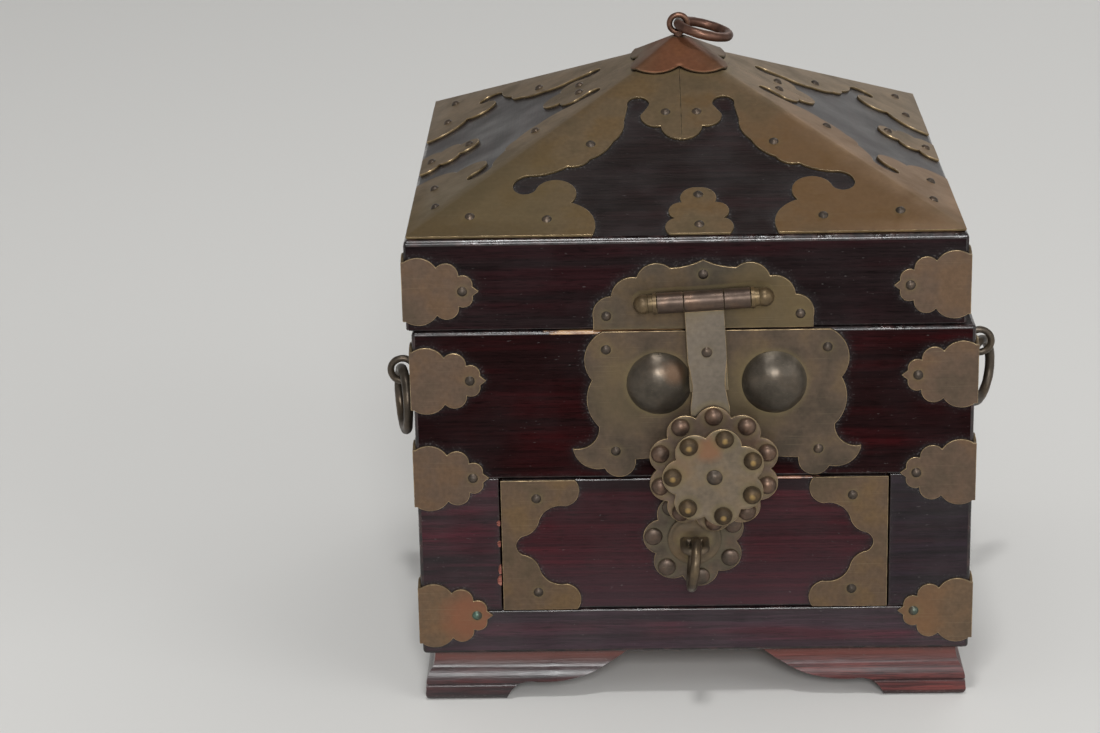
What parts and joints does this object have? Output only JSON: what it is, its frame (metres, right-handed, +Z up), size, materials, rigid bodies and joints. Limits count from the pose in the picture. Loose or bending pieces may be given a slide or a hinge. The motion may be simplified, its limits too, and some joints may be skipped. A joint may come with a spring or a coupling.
{
  "type": "jewelry box",
  "caption": "Square wooden jewelry box with a hinged pyramid lid, a drawer with a ring pull, a swinging hasp with rosettes, scalloped brass plates and hanging rings.",
  "frame": {"origin": "middle of the whole object's footprint box, at the soles of the feet", "axes": "+X to the right as seen from the front, -Y towards the viewer in front of the drawer, +Z up"},
  "size_m": [0.1336, 0.1294, 0.1322],
  "materials": {
    "varnished_rosewood": "gloss varnish, dark red-brown",
    "plain_wood": "unvarnished",
    "aged_brass": "tarnished, rubbed edges",
    "dark_brass": "dark tarnish",
    "wire_brass": "tarnished wire",
    "copper_sheet": "brown copper patina",
    "dark_nail": "dull, dark"
  },
  "bodies": {
    "carcass": {"side_panel_left": "varnished_rosewood", "side_panel_right": "varnished_rosewood", "back_panel": "varnished_rosewood", "upper_front_panel": "varnished_rosewood", "front_stile_left": "varnished_rosewood", "front_stile_right": "varnished_rosewood", "bottom_rail": "varnished_rosewood", "bottom_board": "plain_wood", "compartment_floor": "plain_wood", "drawer_guides": "plain_wood", "foot_front_left": "varnished_rosewood", "foot_front_right": "varnished_rosewood", "foot_back_left": "varnished_rosewood", "foot_back_right": "varnished_rosewood", "corner_plates_upper": "aged_brass", "corner_plates_middle": "aged_brass", "corner_plates_lower": "aged_brass", "carcass_nails": "dark_nail", "lock_plate": "aged_brass", "lock_plate_bosses": "dark_brass", "side_eye_left": "wire_brass", "side_eye_right": "wire_brass", "hinge_leaves_carcass": "wire_brass", "hinge_pins": "wire_brass"},
    "lid": {"lid_rim_front": "varnished_rosewood", "lid_rim_back": "varnished_rosewood", "lid_rim_left": "varnished_rosewood", "lid_rim_right": "varnished_rosewood", "roof_board_front": "varnished_rosewood", "roof_board_back": "varnished_rosewood", "roof_board_left": "varnished_rosewood", "roof_board_right": "varnished_rosewood", "lid_corner_plates": "aged_brass", "roof_hip_plates": "aged_brass", "roof_ornaments": "aged_brass", "roof_cap": "copper_sheet", "lid_nails": "dark_nail", "top_eye": "wire_brass", "hasp_plate": "aged_brass", "hasp_pin": "dark_brass", "hinge_leaves_lid": "wire_brass"},
    "hasp": {"hasp_strap": "aged_brass", "strap_rivet": "dark_nail", "large_rosette": "aged_brass", "small_rosette": "aged_brass", "rosette_studs": "aged_brass", "rosette_post": "dark_nail"},
    "drawer": {"drawer_front": "varnished_rosewood", "drawer_sides": "plain_wood", "drawer_back": "plain_wood", "drawer_bottom": "plain_wood", "drawer_plates": "aged_brass", "drawer_nails": "dark_nail", "drawer_rosette": "aged_brass", "drawer_pull_boss": "dark_brass", "drawer_pull_eye": "wire_brass"},
    "pull_ring": {"drawer_pull_ring": "wire_brass"},
    "lid_ring": {"top_ring": "wire_brass"},
    "left_ring": {"side_ring_left": "wire_brass"},
    "right_ring": {"side_ring_right": "wire_brass"}
  },
  "joints": [
    {"name": "lid_open", "type": "hinge", "parent": "carcass", "child": "lid", "pos_m": [-0.0011, 0.06285, 0.08055], "axis": [-1, 0, 0], "range_deg": [0, 100]},
    {"name": "drawer_slide", "type": "slide", "parent": "carcass", "child": "drawer", "axis": [0, -1, 0], "range_m": [0, 0.06]},
    {"name": "hasp_swing", "type": "hinge", "parent": "lid", "child": "hasp", "pos_m": [0.0009, -0.0544, 0.0873], "axis": [-0.9986, 0, -0.0523], "range_deg": [0, 101]},
    {"name": "pull_ring_lift", "type": "hinge", "parent": "drawer", "child": "pull_ring", "pos_m": [-0.0011, -0.05905, 0.03585], "axis": [-0.9925, 0, 0.1219], "range_deg": [0, 90]},
    {"name": "lid_ring_swing", "type": "hinge", "parent": "lid", "child": "lid_ring", "pos_m": [-0.0025, 0.00455, 0.12973], "axis": [0, -1, 0], "range_deg": [-16, 190]},
    {"name": "left_ring_swing", "type": "hinge", "parent": "carcass", "child": "left_ring", "pos_m": [-0.0634, 0.00455, 0.0535], "axis": [-0.2079, 0.9781, 0], "range_deg": [0, 120]},
    {"name": "right_ring_swing", "type": "hinge", "parent": "carcass", "child": "right_ring", "pos_m": [0.0625, 0.00455, 0.0583], "axis": [-0.4695, -0.8829, 0], "range_deg": [0, 120]}
  ],
  "couplings": [
    {"joint": "hasp_swing", "follows": "drawer_slide", "rad_per_m": 29.2}
  ]
}
